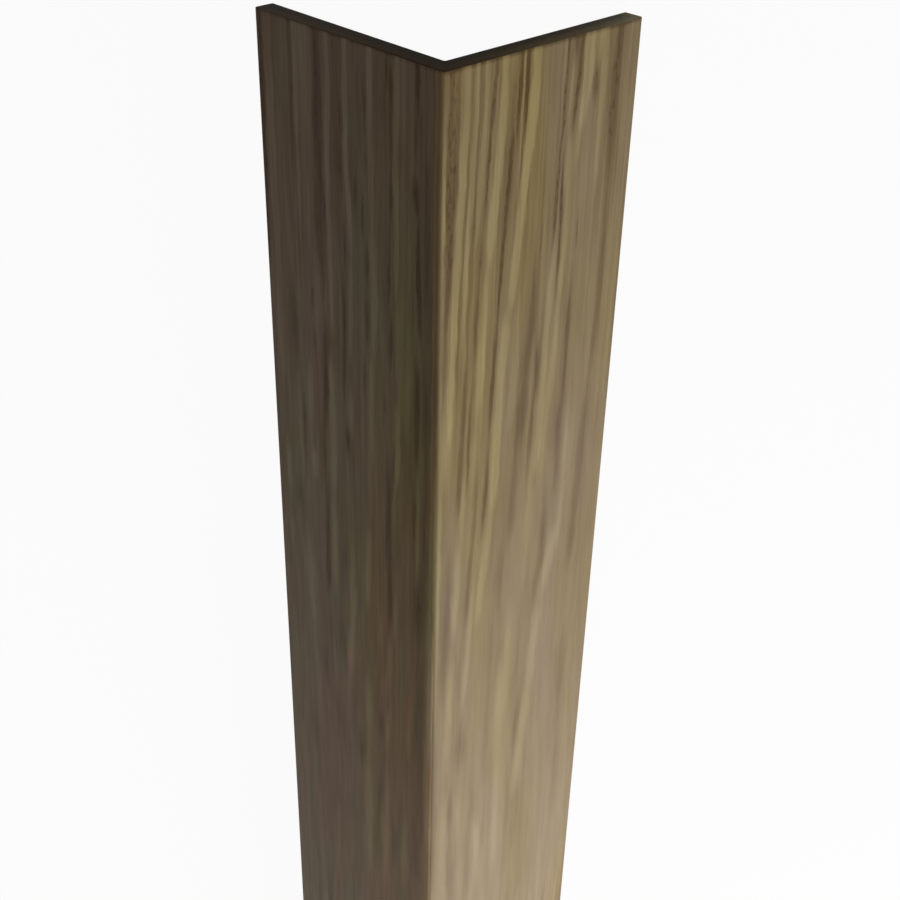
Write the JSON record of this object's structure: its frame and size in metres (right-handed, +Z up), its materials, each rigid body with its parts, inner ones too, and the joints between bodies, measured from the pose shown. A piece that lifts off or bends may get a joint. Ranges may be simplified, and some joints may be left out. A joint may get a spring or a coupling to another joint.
{
  "type": "corner guard moulding",
  "caption": "Straight L-section corner guard moulding with equal legs, wood-grain outer faces and a dark core, bonded over the outer corner of a wall.",
  "frame": {"origin": "on the floor under the ridge, midway along the length and midway between the two legs", "axes": "+Y along the length, towards the end that the picture shows; +Z up through the ridge; +X to the right leg as seen from above the ridge with +Y away from the viewer"},
  "size_m": [0.0536, 1.2192, 0.0287],
  "materials": {
    "woodgrain": "satin"
  },
  "bodies": {
    "root": {"corner_guard": "woodgrain"}
  },
  "joints": []
}
